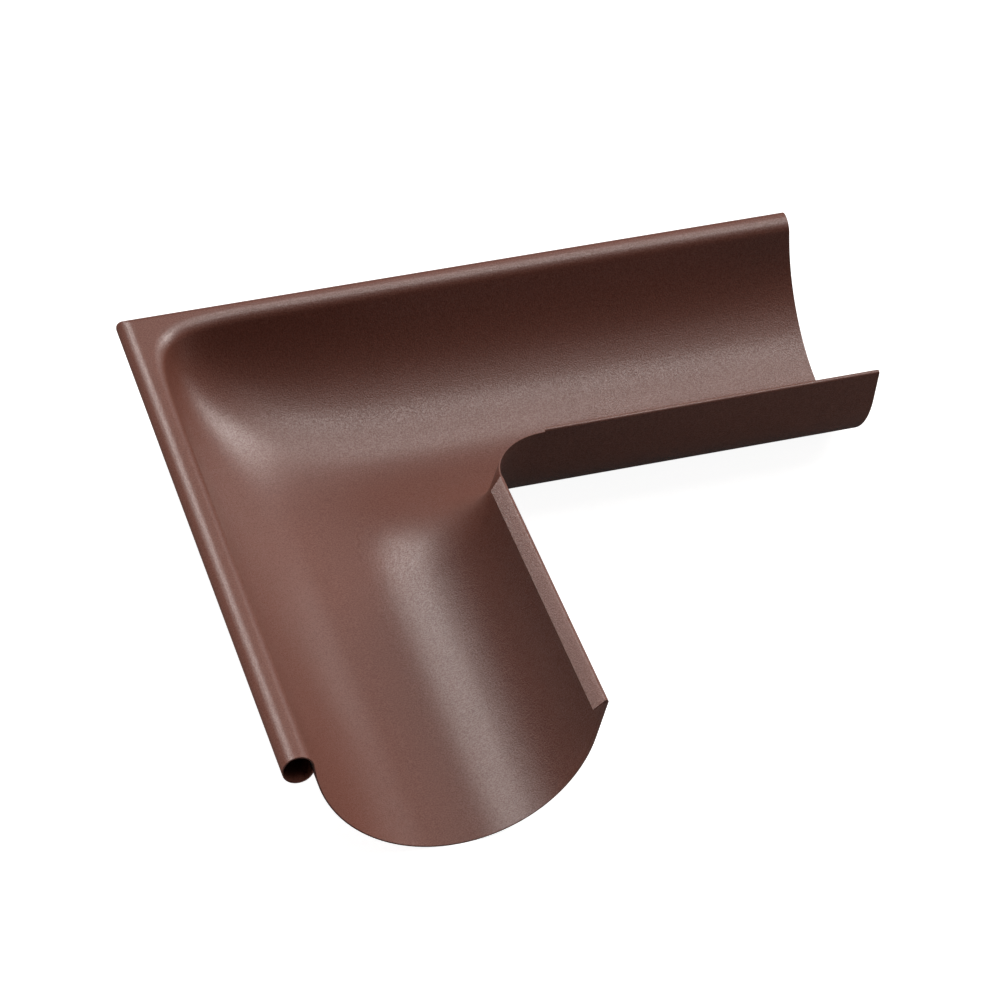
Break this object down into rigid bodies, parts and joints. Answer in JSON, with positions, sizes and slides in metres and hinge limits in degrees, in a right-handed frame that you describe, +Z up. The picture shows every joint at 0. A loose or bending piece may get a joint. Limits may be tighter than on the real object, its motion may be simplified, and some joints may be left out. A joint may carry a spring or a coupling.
{
  "type": "gutter external angle",
  "caption": "Outside corner of a half-round eaves gutter, pressed from one sheet, with a rolled front bead and a folded rear hem.",
  "frame": {"origin": "centre of the overall box, on the level of the trough's bottom", "axes": "+Z up, the open side of the trough; leg A runs along +X and leg B along -Y, so the outer corner is at -X +Y and the building at +X -Y"},
  "size_m": [0.33, 0.33, 0.0652],
  "materials": {
    "coated_steel": "satin brown polyester coating on galvanised steel sheet, fine speckle"
  },
  "bodies": {
    "root": {"gutter_angle": "coated_steel"}
  },
  "joints": []
}
